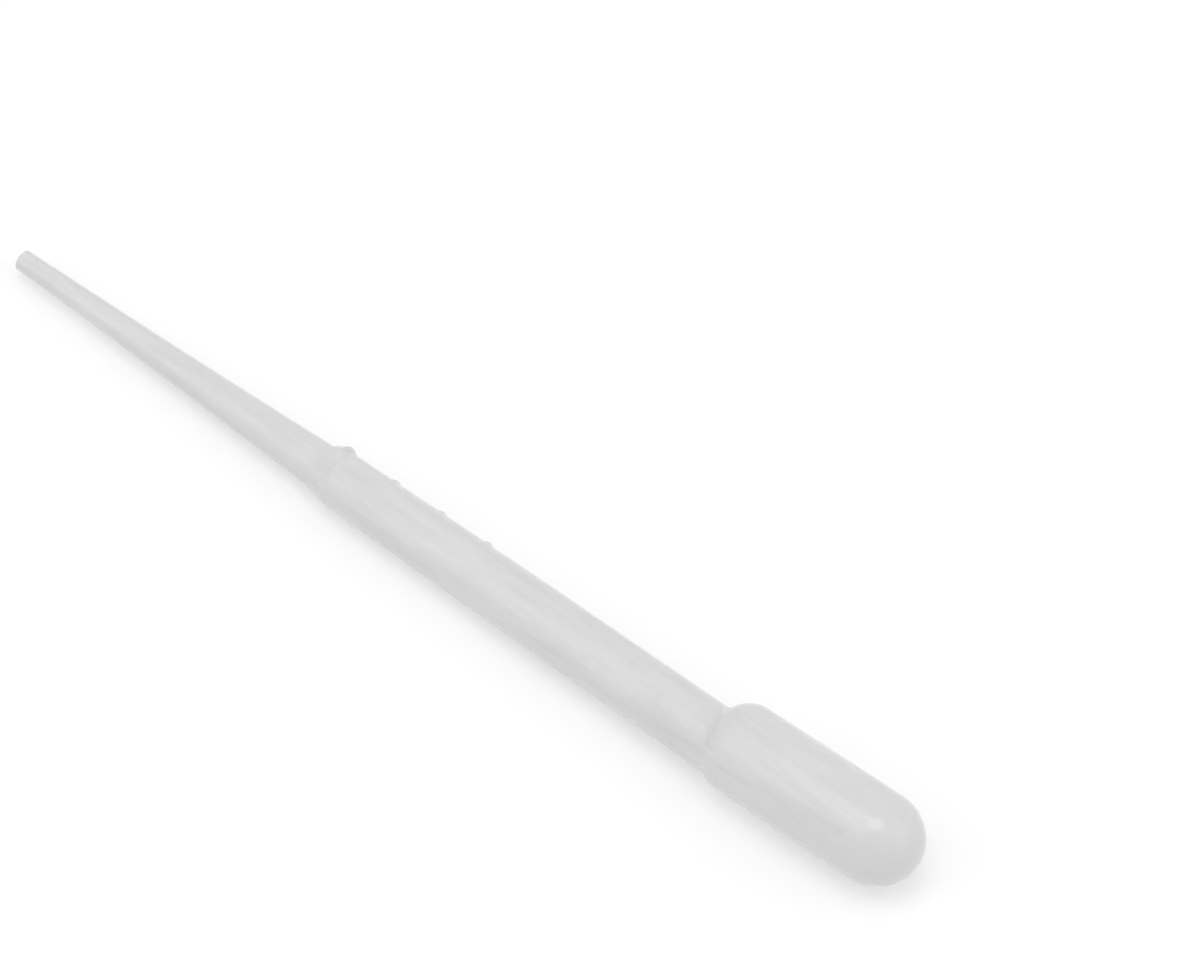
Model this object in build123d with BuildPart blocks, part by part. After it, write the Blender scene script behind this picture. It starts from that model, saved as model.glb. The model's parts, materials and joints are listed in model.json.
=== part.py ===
from build123d import *
import os
from math import asin, atan2, cos, hypot, radians, sin

# Disposable 3 ml transfer pipette, blow-moulded in one piece from a low-density
# polyethylene tube: a drawn tip, a stepped shoulder, a graduated stem and a
# squeeze bulb. It lies on its side as it comes to rest, with its mouth at -X and its
# bulb at +X. The origin is under the middle of its box, on the surface it lies on.

# Driving dimensions, in millimetres and degrees. All diameters are outside ones.
tip_length = 54.0            # drawn tip, from the mouth to the foot of the shoulder
shoulder_length = 3.6        # from the foot of the shoulder to the full stem
stem_length = 63.6           # from the shoulder to the crown of the bulb's neck dome
neck_dome_depth = 5.1        # how far the neck dome reaches towards the stem
bulb_body_length = 22.0      # from the neck dome to the end dome
end_dome_depth = 6.7         # how far the end dome reaches, a little more than its radius

mouth_diameter = 3.0
tip_middle_diameter = 4.4    # half way along the drawn tip, which flares a little
tip_root_diameter = 6.4      # at the foot of the shoulder
stem_start_diameter = 7.9    # at the top of the shoulder
stem_middle_diameter = 8.7   # half way along the stem, which swells a little
stem_end_diameter = 9.0      # where the stem runs into the bulb
bulb_start_diameter = 12.5   # where the neck dome ends
bulb_end_diameter = 12.8     # where the end dome starts

tube_wall = 0.5              # wall of the tip and the stem
bulb_wall = 0.4              # wall of the bulb, blown thinner than the tube
shoulder_foot_rounding = 0.8
shoulder_top_rounding = 2.5
neck_rounding = 0.3          # in the crease between the stem and the neck dome

marked_side_angle = 26.0     # the side with the ridges, above the horizontal
bulb_offset = 1.05           # the bulb was blown off the stem's axis, to the marked side
bulb_tilt = 1.2              # and leans further to that side
bulb_flat_depth = 0.3        # the soft bulb sits a little flat where it lies

ridge_count = 3              # graduation ridges along the stem
ridge_start = 7.0            # from the top of the shoulder to the first of them
ridge_spacing = 8.0          # a quarter of a millilitre
ridge_height = 0.32
ridge_width = 1.7
ridge_bow = 1.2              # how far off the axis a ridge is turned, so that it fades out
shoulder_ridge_setback = 1.15   # the crest of the taller one, short of the top of the shoulder
shoulder_ridge_diameter = 9.0   # across the stem, had it gone all the way round
shoulder_brow_setback = 1.4     # the brow of its front, from its crest
shoulder_brow_diameter = 8.1
shoulder_ridge_ramp = 2.25      # its slopes towards the mouth and towards the bulb
shoulder_ridge_back = 1.2
shoulder_ridge_rounding = 0.5

# Stations along the stem's axis, from the mouth
stem_start = tip_length + shoulder_length
bulb_crown = stem_start + stem_length
bulb_start = bulb_crown + neck_dome_depth
bulb_end = bulb_start + bulb_body_length

# The bulb's axis, up from the stem's and to the side of it
bulb_rise = bulb_offset * sin(radians(marked_side_angle))
bulb_shift = bulb_offset * cos(radians(marked_side_angle))


def incline_onto(station, radius):
    """The stem's incline when the shoulder and one round of the bulb both touch down."""
    height = bulb_rise + stem_start_diameter / 2
    distance = station - stem_start
    return asin(radius / hypot(height, distance)) - atan2(height, distance)


# It lies on the shoulder and on the lower end of the bulb
incline = max(
    incline_onto(bulb_start, bulb_start_diameter / 2 - bulb_flat_depth),
    incline_onto(bulb_end, bulb_end_diameter / 2 - bulb_flat_depth),
)
along = Vector(cos(incline), 0, sin(incline))
upward = Vector(-sin(incline), 0, cos(incline))
sideways = Vector(0, 1, 0)
marked_side = (upward * bulb_rise + sideways * bulb_shift).normalized()
bulb_along = along * cos(radians(bulb_tilt)) + marked_side * sin(radians(bulb_tilt))

# The box spans from the mouth's lower rim to the end dome, and from the plain side of the
# bulb's start to the marked side of its end
end_dome_place = along * bulb_start + marked_side * bulb_offset + bulb_along * bulb_body_length
box_length = mouth_diameter / 2 * sin(incline) + end_dome_place.X + end_dome_depth
box_sides = bulb_shift - bulb_start_diameter / 2, end_dome_place.Y + bulb_end_diameter / 2
mouth = Vector(
    mouth_diameter / 2 * sin(incline) - box_length / 2,
    -sum(box_sides) / 2,
    stem_start_diameter / 2 * cos(incline) - stem_start * sin(incline),
)


def section_plane(station, offset, direction):
    """The plane for half of a turned shape, x along its axis and y to the marked side."""
    return Plane(
        origin=mouth + along * station + marked_side * offset,
        x_dir=direction,
        z_dir=along.cross(marked_side),
    )


def turn(section, plane, mode):
    """Turn a half section around its plane's x axis."""
    revolve(section.sketch, Axis(plane.origin, plane.x_dir), mode=mode)


def add_tube(inset, mode):
    """Tip, shoulder and stem, with the outline drawn in by the inset."""
    rim = (0, mouth_diameter / 2 - inset)
    tip_middle = (tip_length / 2, tip_middle_diameter / 2 - inset)
    shoulder_foot = (tip_length, tip_root_diameter / 2 - inset)
    shoulder_top = (stem_start, stem_start_diameter / 2 - inset)
    stem_middle = ((stem_start + bulb_start) / 2, stem_middle_diameter / 2 - inset)
    stem_end = (bulb_start, stem_end_diameter / 2 - inset)
    plane = section_plane(0, 0, along)
    with BuildSketch(plane) as section:
        with BuildLine():
            ThreePointArc(rim, tip_middle, shoulder_foot)
            Polyline(shoulder_foot, shoulder_top, stem_middle, stem_end, (bulb_start, 0), (0, 0), rim)
        make_face()
        fillet(section.vertices().sort_by_distance(shoulder_foot)[0], shoulder_foot_rounding)
        fillet(section.vertices().sort_by_distance(shoulder_top)[0], shoulder_top_rounding)
    turn(section, plane, mode)


def add_bulb(inset, mode):
    """Neck dome, body and end dome, with the outline drawn in by the inset."""
    neck_depth = neck_dome_depth - inset
    start_radius = bulb_start_diameter / 2 - inset
    end_radius = bulb_end_diameter / 2 - inset
    end_depth = end_dome_depth - inset
    plane = section_plane(bulb_start, bulb_offset, bulb_along)
    with BuildSketch(plane) as section:
        with BuildLine():
            EllipticalCenterArc((0, 0), neck_depth, start_radius, start_angle=90, arc_size=90)
            Line((0, start_radius), (bulb_body_length, end_radius))
            EllipticalCenterArc(
                (bulb_body_length, 0), end_depth, end_radius, start_angle=0, arc_size=90
            )
            Line((bulb_body_length + end_depth, 0), (-neck_depth, 0))
        make_face()
    turn(section, plane, mode)


def add_ridge(crest, outline, rounding):
    """A raised bar across the marked side: a slim disc, turned off the stem's axis."""
    plane = section_plane(crest, ridge_bow, along)
    points = [(station, radius - ridge_bow) for station, radius in outline]
    peak = next(point for point in points if point[0] == 0)
    with BuildSketch(plane) as section:
        with BuildLine():
            Polyline((points[0][0], 0), *points, (points[-1][0], 0), close=True)
        make_face()
        fillet(section.vertices().sort_by_distance(peak)[0], rounding)
    turn(section, plane, Mode.ADD)


with BuildPart() as pipette:
    add_tube(0, Mode.ADD)
    add_bulb(0, Mode.ADD)
    crease = pipette.edges(Select.NEW)
    fillet(crease, neck_rounding)

    add_ridge(
        stem_start - shoulder_ridge_setback,
        [
            (-shoulder_ridge_ramp, tip_root_diameter / 2),
            (-shoulder_brow_setback, shoulder_brow_diameter / 2),
            (0, shoulder_ridge_diameter / 2),
            (shoulder_ridge_back, stem_start_diameter / 2),
        ],
        shoulder_ridge_rounding,
    )
    for number in range(ridge_count):
        crest = ridge_start + number * ridge_spacing
        growth = (stem_middle_diameter - stem_start_diameter) / (bulb_start - stem_start)
        radius = stem_start_diameter / 2 + growth * crest
        reach = ridge_width / 2
        add_ridge(
            stem_start + crest, [(-reach, radius), (0, radius + ridge_height), (reach, radius)],
            reach,
        )

    add_tube(tube_wall, Mode.SUBTRACT)
    split(bisect_by=Plane.XY, keep=Keep.TOP)

# The bulb's hollow, flat over its own flat so that the wall keeps its thickness
with BuildPart() as hollow:
    add_bulb(bulb_wall, Mode.ADD)
    split(bisect_by=Plane.XY.offset(bulb_wall), keep=Keep.TOP)

with pipette:
    add(hollow.part, mode=Mode.SUBTRACT)

pipette.part.label = "pipette"

os.makedirs("parts", exist_ok=True)
export_step(pipette.part, "parts/pipette.step")

box = pipette.part.bounding_box()
print(f"box from {box.min} to {box.max}")
print(f"volume {pipette.part.volume:.1f} mm3, incline {incline:.4f}, valid {pipette.part.is_valid}")
print(f"mouth at {mouth}, axis {along}")
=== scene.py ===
import bmesh
import bpy
import json
from math import asin, atan2, cos, hypot, pi, radians, sin
from mathutils import Matrix, Vector


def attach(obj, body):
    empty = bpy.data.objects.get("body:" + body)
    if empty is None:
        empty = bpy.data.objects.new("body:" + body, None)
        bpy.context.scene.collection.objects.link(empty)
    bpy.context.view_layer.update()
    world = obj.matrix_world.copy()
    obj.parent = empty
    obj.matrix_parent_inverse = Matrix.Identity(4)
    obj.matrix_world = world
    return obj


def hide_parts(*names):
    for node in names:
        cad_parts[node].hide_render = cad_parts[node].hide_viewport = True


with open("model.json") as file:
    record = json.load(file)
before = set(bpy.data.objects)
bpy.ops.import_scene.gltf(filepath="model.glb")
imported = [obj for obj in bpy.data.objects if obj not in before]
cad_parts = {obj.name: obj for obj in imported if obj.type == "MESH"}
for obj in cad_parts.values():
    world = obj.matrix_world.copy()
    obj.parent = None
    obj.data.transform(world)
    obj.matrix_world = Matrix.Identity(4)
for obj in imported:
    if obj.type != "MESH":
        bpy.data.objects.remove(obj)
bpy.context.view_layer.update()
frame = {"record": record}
scene = bpy.context.scene

# The pipette is blow-moulded in one piece from a tube of low-density polyethylene: a drawn tip, a
# shoulder, a stem with moulded graduation ridges, and a squeeze bulb that was blown off the stem's
# axis. Its mouth is cut square and its rim is slightly rounded. Lengths here are millimetres.
MM = 0.001
TOLERANCE = 0.001
TUBE_WALL = 0.5
BULB_WALL = 0.4

MOUTH_RADIUS = 1.5
LIP_OUTER_ROUNDING = 0.18
LIP_INNER_ROUNDING = 0.12
TIP_MIDDLE_RADIUS = 2.2
TIP_ROOT_RADIUS = 3.2
TIP_LENGTH = 54.0
SHOULDER_TOP = 57.6
SHOULDER_TOP_RADIUS = 3.95
STEM_MIDDLE_RADIUS = 4.35
STEM_END_RADIUS = 4.5

BULB_CROWN = 121.2
BULB_START = 126.3
BULB_END = 148.3
NECK_DOME_DEPTH = 5.1
END_DOME_DEPTH = 6.7
BULB_START_RADIUS = 6.25
BULB_END_RADIUS = 6.395
BULB_OFFSET = 1.05
BULB_TILT = 1.2
CREASE_ROUNDING = 0.6
CREASE_STEPS = 6
MARKED_SIDE_ANGLE = 26.0


def mix(a, b, share):
    """The value that share of the way from a to b."""
    return a + (b - a) * share


def tube_radius(station):
    """The outer radius of the tip, the shoulder or the stem."""
    if station < TIP_LENGTH:
        share = station / TIP_LENGTH
        sag = TIP_MIDDLE_RADIUS - (MOUTH_RADIUS + TIP_ROOT_RADIUS) / 2
        return mix(MOUTH_RADIUS, TIP_ROOT_RADIUS, share) + 4 * sag * share * (1 - share)
    if station < SHOULDER_TOP:
        share = (station - TIP_LENGTH) / (SHOULDER_TOP - TIP_LENGTH)
        return mix(TIP_ROOT_RADIUS, SHOULDER_TOP_RADIUS, share)
    middle = (SHOULDER_TOP + BULB_START) / 2
    if station < middle:
        share = (station - SHOULDER_TOP) / (middle - SHOULDER_TOP)
        return mix(SHOULDER_TOP_RADIUS, STEM_MIDDLE_RADIUS, share)
    share = (station - middle) / (BULB_START - middle)
    return mix(STEM_MIDDLE_RADIUS, STEM_END_RADIUS, share)


def evenly(start, end, count):
    """Stations from start up to, but without, end."""
    return [mix(start, end, number / count) for number in range(count)]


# The rings round the pipette's axis: how many each part has, and how many corners each ring has.
# The skin is closer ringed than the hollow where it has ridges. Both sides of the crease between
# the stem and the bulb stay free of rings, which leaves room for its rounding.
TURN_STEPS = 96
TIP_STEPS = 54
SHOULDER_STEPS = 24
SKIN_RIDGED_STEPS = 130
HOLLOW_RIDGED_STEPS = 26
STEM_STEPS = 30
NECK_STEPS = 8
BULB_STEPS = 22
END_STEPS = 24
LIP_OUTER_STEPS = 5
LIP_INNER_STEPS = 4
RIDGED_END = SHOULDER_TOP + 26.0
STEM_STEPS_END = BULB_CROWN - 1.0
NECK_STEPS_START = BULB_CROWN + 0.3 * NECK_DOME_DEPTH


def outline(wall_of_tube, wall_of_bulb, ridged_steps):
    """Half of the outline, from the mouth to the pole of the bulb, drawn in by the walls."""
    stations = evenly(0, TIP_LENGTH, TIP_STEPS)
    stations += evenly(TIP_LENGTH, SHOULDER_TOP, SHOULDER_STEPS)
    stations += evenly(SHOULDER_TOP, RIDGED_END, ridged_steps)
    stations += evenly(RIDGED_END, STEM_STEPS_END, STEM_STEPS) + [STEM_STEPS_END]
    points = [(station, tube_radius(station) - wall_of_tube) for station in stations]
    start_radius = BULB_START_RADIUS - wall_of_bulb
    end_radius = BULB_END_RADIUS - wall_of_bulb
    end_depth = END_DOME_DEPTH - wall_of_bulb
    points += [
        (station, start_radius)
        for station in [BULB_CROWN] + evenly(NECK_STEPS_START, BULB_START, NECK_STEPS)
    ]
    points += [
        (station, mix(start_radius, end_radius, (station - BULB_START) / (BULB_END - BULB_START)))
        for station in evenly(BULB_START, BULB_END, BULB_STEPS)
    ]
    points += [
        (BULB_END + end_depth * sin(angle), end_radius * cos(angle))
        for angle in evenly(0, pi / 2, END_STEPS)
    ]
    return points + [(BULB_END + end_depth, 0.0)]


skin = outline(0, 0, SKIN_RIDGED_STEPS)
hollow = outline(TUBE_WALL, BULB_WALL, HOLLOW_RIDGED_STEPS)

# Turn the whole outline, from the skin's pole round the lip of the mouth and back along the hollow
chain = list(reversed(skin[1:]))
for angle in evenly(pi / 2, pi, LIP_OUTER_STEPS) + [pi]:
    chain.append((
        LIP_OUTER_ROUNDING * (1 + cos(angle)),
        MOUTH_RADIUS - LIP_OUTER_ROUNDING * (1 - sin(angle)),
    ))
for angle in evenly(pi, 3 * pi / 2, LIP_INNER_STEPS) + [3 * pi / 2]:
    chain.append((
        LIP_INNER_ROUNDING * (1 + cos(angle)),
        MOUTH_RADIUS - TUBE_WALL + LIP_INNER_ROUNDING * (1 + sin(angle)),
    ))
chain += hollow[1:]

# The skin's points come first in it, and are marked as such
shell = bmesh.new()
skin_layer = shell.verts.layers.int.new("skin")
vertices = []
for number, (station, radius) in enumerate(chain):
    vertex = shell.verts.new((station, radius, 0))
    vertex[skin_layer] = number < len(skin)
    vertices.append(vertex)
for before, after in zip(vertices, vertices[1:]):
    shell.edges.new((before, after))
bmesh.ops.spin(
    shell, geom=shell.verts[:] + shell.edges[:], cent=(0, 0, 0), axis=(1, 0, 0),
    angle=2 * pi, steps=TURN_STEPS, use_merge=True,
)
bmesh.ops.remove_doubles(shell, verts=shell.verts[:], dist=TOLERANCE)

# The ridges on the marked side: a taller one at the shoulder, and graduations 8 mm apart on the stem.
# Each is part of a disc that is turned off the stem's axis, so that it fades out to both sides. Its
# outline is a list of stations and radii. A graduation is given by its place up the stem and height.
RIDGE_BOW = 1.2
SHOULDER_RIDGE = [
    (SHOULDER_TOP - 3.2, TIP_ROOT_RADIUS),
    (SHOULDER_TOP - 2.5, 3.84),
    (SHOULDER_TOP - 1.15, 4.5),
    (SHOULDER_TOP + 0.05, SHOULDER_TOP_RADIUS),
]
GRADUATIONS = ((7.0, 0.26), (15.0, 0.26), (23.0, 0.32))
GRADUATION_REACH = 0.85
ridges = [SHOULDER_RIDGE]
for from_shoulder, height in GRADUATIONS:
    crest = SHOULDER_TOP + from_shoulder
    ridges.append([
        (crest - GRADUATION_REACH, tube_radius(crest)),
        (crest, tube_radius(crest) + height),
        (crest + GRADUATION_REACH, tube_radius(crest)),
    ])


def ridge_rise(station, angle):
    """How far a ridge stands out of the tube there."""
    for ridge in ridges:
        for (start, start_radius), (end, end_radius) in zip(ridge, ridge[1:]):
            if start <= station < end:
                share = (station - start) / (end - start)
                disc = mix(start_radius, end_radius, share * share * (3 - 2 * share)) - RIDGE_BOW
                reach = disc ** 2 - (RIDGE_BOW * sin(angle)) ** 2
                radius = RIDGE_BOW * cos(angle) + max(reach, 0) ** 0.5
                return max(0, radius - tube_radius(station))
    return 0


def on_neck_dome(share, angle, wall_of_tube, wall_of_bulb):
    """A place on the dome round the bulb's own axis, that share of the way out from the crease."""
    stem_radius = tube_radius(BULB_START) - wall_of_tube
    dome_radius = BULB_START_RADIUS - wall_of_bulb
    dome_depth = NECK_DOME_DEPTH - wall_of_bulb
    side = stem_radius * cos(angle) - BULB_OFFSET
    across = stem_radius * sin(angle)
    slope = mix(asin(hypot(side, across) / dome_radius), pi / 2, share)
    turned = mix((atan2(across, side) - angle + pi) % (2 * pi) - pi, 0, share) + angle
    return Vector((
        BULB_START - dome_depth * cos(slope),
        BULB_OFFSET + dome_radius * sin(slope) * cos(turned),
        dome_radius * sin(slope) * sin(turned),
    ))


def lean(point, share):
    """The point, leant with the bulb about the middle of the bulb's start."""
    pivot = Vector((BULB_START, BULB_OFFSET, 0))
    return pivot + Matrix.Rotation(radians(BULB_TILT) * share, 3, "Z") @ (point - pivot)


# Raise the ridges, draw the neck out to the bulb, and set the bulb off the axis
for vertex in shell.verts:
    station, side, across = vertex.co
    angle = atan2(across, side)
    outside = vertex[skin_layer]
    if station > BULB_START - TOLERANCE:
        vertex.co = lean(vertex.co + Vector((0, BULB_OFFSET, 0)), 1)
    elif station > BULB_CROWN - TOLERANCE:
        walls = (0, 0) if outside else (TUBE_WALL, BULB_WALL)
        share = (station - BULB_CROWN) / (BULB_START - BULB_CROWN)
        vertex.co = lean(on_neck_dome(share, angle, *walls), share)
    elif outside and TIP_LENGTH < station < RIDGED_END:
        rise = ridge_rise(station, angle)
        vertex.co += Vector((0, cos(angle), sin(angle))) * rise


def on_crease(vertex):
    """Whether the vertex is where the stem's skin runs into the neck dome."""
    on_stem = abs(hypot(vertex.co.y, vertex.co.z) - STEM_END_RADIUS) < TOLERANCE
    return vertex[skin_layer] and on_stem and vertex.co.x > STEM_STEPS_END + TOLERANCE


# Soften the crease between the stem and the neck dome
bmesh.ops.recalc_face_normals(shell, faces=shell.faces[:])
crease = [edge for edge in shell.edges if all(on_crease(vertex) for vertex in edge.verts)]
bmesh.ops.bevel(
    shell, geom=crease, offset=CREASE_ROUNDING, segments=CREASE_STEPS, profile=0.5,
    affect="EDGES", material=-1,
)

# Lay it down on the mouth's place and the stem's incline
mouth = next(mount for mount in frame["record"]["mounts"] if mount["name"] == "mouth")
along = -Vector(mouth["axis"]).normalized()
upward = Vector((-along.z, 0, along.x))
side_angle = radians(MARKED_SIDE_ANGLE)
marked = Vector((0, cos(side_angle), 0)) + upward * sin(side_angle)
plain = along.cross(marked)
place = Matrix((along * MM, marked * MM, plain * MM)).transposed().to_4x4()
place.translation = Vector(mouth["pos_m"])
bmesh.ops.transform(shell, matrix=place, verts=shell.verts[:])

# The soft bulb sits flat where it lies, and its wall keeps its thickness there
for vertex in shell.verts:
    floor_height = 0 if vertex[skin_layer] else BULB_WALL * MM
    vertex.co.z = max(vertex.co.z, floor_height)
for face in shell.faces:
    face.smooth = True

mesh = bpy.data.meshes.new("pipette_body")
shell.to_mesh(mesh)
shell.free()
pipette = bpy.data.objects.new("pipette_body", mesh)
scene.collection.objects.link(pipette)


def linear(hex_colour):
    """An sRGB hex colour as linear RGBA."""
    channels = [int(hex_colour[start:start + 2], 16) / 255 for start in (1, 3, 5)]
    return [c / 12.92 if c <= 0.04045 else ((c + 0.055) / 1.055) ** 2.4 for c in channels] + [1]


def add_node(tree, kind, settings=None, links=None):
    """Adds a node with its attributes and input values, and with outputs linked to its inputs."""
    node = tree.nodes.new(kind)
    for name, value in (settings or {}).items():
        if isinstance(name, int) or name in node.inputs:
            node.inputs[name].default_value = value
        else:
            setattr(node, name, value)
    for name, output in (links or {}).items():
        tree.links.new(output, node.inputs[name])
    return node


# Natural low-density polyethylene, blow-moulded: milky and softly glossy. The drawing leaves lighter
# and darker streaks where the wall is thicker and thinner, about 2 mm wide and some centimetres
# long, and die lines that break up the gloss. Those are about 0.1 mm apart, too fine to show, so
# they are drawn 0.4 mm apart. Both run out at the bulb's end, which was blown smooth.
DIE_LINE_SIZE = (10.0, 0.4, 0.4)
DIE_LINE_DEPTH = 0.15
STREAK_SIZE = (14.0, 1.8, 1.8)
DRAWN_FADE_START = 3.0
DRAWN_FADE_END = 1.0
ldpe = bpy.data.materials.new("natural blow-moulded LDPE")
ldpe.use_nodes = True
tree = ldpe.node_tree
tree.nodes.clear()
where = add_node(tree, "ShaderNodeTexCoord")
incline = atan2(along.z, along.x)
end_dome_start = mouth["pos_m"][0] + BULB_END * MM
place_along = add_node(tree, "ShaderNodeSeparateXYZ", {}, {"Vector": where.outputs["Object"]})
drawn_share = add_node(
    tree, "ShaderNodeMapRange",
    {
        "interpolation_type": "SMOOTHSTEP", "From Min": end_dome_start - DRAWN_FADE_START * MM,
        "From Max": end_dome_start - DRAWN_FADE_END * MM, "To Min": 1.0, "To Max": 0.0,
    },
    {"Value": place_along.outputs["X"]},
)
drawn = add_node(
    tree, "ShaderNodeMapping",
    {
        "vector_type": "TEXTURE", "Rotation": (0, -incline, 0),
        "Scale": [size * MM for size in DIE_LINE_SIZE],
    },
    {"Vector": where.outputs["Object"]},
)
die_lines = add_node(
    tree, "ShaderNodeTexNoise", {"Scale": 1.0, "Detail": 2.0, "Roughness": 0.5},
    {"Vector": drawn.outputs["Vector"]},
)
ripple = add_node(
    tree, "ShaderNodeBump", {"Distance": DIE_LINE_DEPTH * MM},
    {"Height": die_lines.outputs["Fac"], "Strength": drawn_share.outputs["Result"]},
)
swirled = add_node(
    tree, "ShaderNodeMapping",
    {
        "vector_type": "TEXTURE", "Rotation": (0, -incline, 0),
        "Scale": [size * MM for size in STREAK_SIZE],
    },
    {"Vector": where.outputs["Object"]},
)
thickness = add_node(
    tree, "ShaderNodeTexNoise", {"Scale": 1.0, "Detail": 5.0, "Roughness": 0.8},
    {"Vector": swirled.outputs["Vector"]},
)
streaks = add_node(
    tree, "ShaderNodeMix", {"data_type": "RGBA", 6: linear("#D7D7D7"), 7: linear("#FAFAFA")},
    {0: thickness.outputs["Fac"]},
)
milkiness = add_node(
    tree, "ShaderNodeMix", {"data_type": "RGBA", 6: linear("#E9E9E9")},
    {0: drawn_share.outputs["Result"], 7: streaks.outputs["Result"]},
)
plastic = add_node(
    tree, "ShaderNodeBsdfPrincipled",
    {
        "Roughness": 0.4, "IOR": 1.51, "Transmission Weight": 0.25, "Specular IOR Level": 0.2,
        "Coat Weight": 0.65, "Coat Roughness": 0.03, "Coat IOR": 1.5,
    },
    {"Base Color": milkiness.outputs["Result"], "Coat Normal": ripple.outputs["Normal"]},
)
add_node(tree, "ShaderNodeOutputMaterial", {}, {"Surface": plastic.outputs["BSDF"]})
mesh.materials.append(ldpe)

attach(pipette, "root")
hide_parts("pipette")

# The stage: a white sheet, soft daylight from all round, and softboxes over and behind the object
WHITE = (1, 1, 1, 1)
FLOOR_REACH = 3.0
FLOOR_GLOW = 0.4
floor_mesh = bpy.data.meshes.new("floor")
sheet = bmesh.new()
bmesh.ops.create_grid(sheet, x_segments=1, y_segments=1, size=FLOOR_REACH)
sheet.to_mesh(floor_mesh)
sheet.free()
floor = bpy.data.objects.new("floor", floor_mesh)
scene.collection.objects.link(floor)
white_paper = bpy.data.materials.new("white paper")
white_paper.use_nodes = True
paper_tree = white_paper.node_tree
paper_tree.nodes.clear()
paper = add_node(paper_tree, "ShaderNodeBsdfDiffuse", {"Color": WHITE})
glow = add_node(paper_tree, "ShaderNodeEmission", {"Color": WHITE, "Strength": 1.0})
bright_paper = add_node(
    paper_tree, "ShaderNodeMixShader", {0: FLOOR_GLOW},
    {1: paper.outputs["BSDF"], 2: glow.outputs["Emission"]},
)


def seen_rays(tree):
    """Where the background is seen itself, straight, in gloss or through the plastic."""
    path = add_node(tree, "ShaderNodeLightPath")
    seen = path.outputs["Is Camera Ray"]
    for rays in ("Is Glossy Ray", "Is Transmission Ray"):
        either = add_node(
            tree, "ShaderNodeMath", {"operation": "MAXIMUM"}, {0: seen, 1: path.outputs[rays]},
        )
        seen = either.outputs["Value"]
    return seen


seen_paper = add_node(
    paper_tree, "ShaderNodeMixShader", {},
    {0: seen_rays(paper_tree), 1: paper.outputs["BSDF"], 2: bright_paper.outputs["Shader"]},
)
add_node(paper_tree, "ShaderNodeOutputMaterial", {}, {"Surface": seen_paper.outputs["Shader"]})
floor_mesh.materials.append(white_paper)

ROOM_LIGHT = 0.66
world = bpy.data.worlds.new("studio")
scene.world = world
world.use_nodes = True
sky = world.node_tree
sky.nodes.clear()
around = add_node(sky, "ShaderNodeBackground", {"Color": WHITE, "Strength": ROOM_LIGHT})
backdrop = add_node(sky, "ShaderNodeBackground", {"Color": WHITE, "Strength": 1.0})
seen_sky = add_node(
    sky, "ShaderNodeMixShader", {},
    {0: seen_rays(sky), 1: around.outputs["Background"], 2: backdrop.outputs["Background"]},
)
add_node(sky, "ShaderNodeOutputWorld", {}, {"Surface": seen_sky.outputs["Shader"]})


def softbox(name, position, aim, width, height, power, roll=0):
    """A rectangular lamp at that position, facing the aim. Sizes are metres, power is watts."""
    lamp = bpy.data.lights.new(name, "AREA")
    lamp.shape = "RECTANGLE"
    lamp.size = width
    lamp.size_y = height
    lamp.energy = power
    box = bpy.data.objects.new(name, lamp)
    facing = (Vector(aim) - Vector(position)).to_track_quat("-Z", "Y").to_matrix()
    facing @= Matrix.Rotation(radians(roll), 3, "Z")
    box.matrix_world = Matrix.LocRotScale(position, facing, None)
    scene.collection.objects.link(box)


SOFTBOX_DISTANCE = 1.13


def over_pipette(turn, middle):
    """A place at that distance from the pipette, turned up round it from the level marked side."""
    turn = radians(turn)
    return Vector((middle, SOFTBOX_DISTANCE * cos(turn), SOFTBOX_DISTANCE * sin(turn)))


# The high box gives the band along the pipette, the overhead one the square patch on the bulb's end,
# and the other two the lighter far side and end
softbox("high softbox", over_pipette(121, -0.48), (0, 0, 0), 0.6, 1.3, 2.5)
softbox("overhead softbox", (0.02, 0, 1.1), (0.02, 0, 0), 0.56, 0.56, 2.3, roll=40)
softbox("far panel", over_pipette(50, -0.4), (0, 0, 0), 0.6, 0.6, 0.4)
softbox("end panel", (0.84, 0.43, 0.72), (0, 0, 0), 1.0, 0.9, 2.0)

# The camera looks down on the pipette from beyond its bulb, over its plain side
scene.view_settings.view_transform = "Standard"
camera_data = bpy.data.cameras.new("camera")
camera_data.sensor_width = 36
camera_data.lens = 210.498
camera = bpy.data.objects.new("camera", camera_data)
camera.location = (0.32520, -0.36615, 0.80565)
aim = Vector((0.00567, 0.02287, 0.0)) - camera.location
camera.rotation_euler = aim.to_track_quat("-Z", "Y").to_euler()
scene.collection.objects.link(camera)
scene.camera = camera
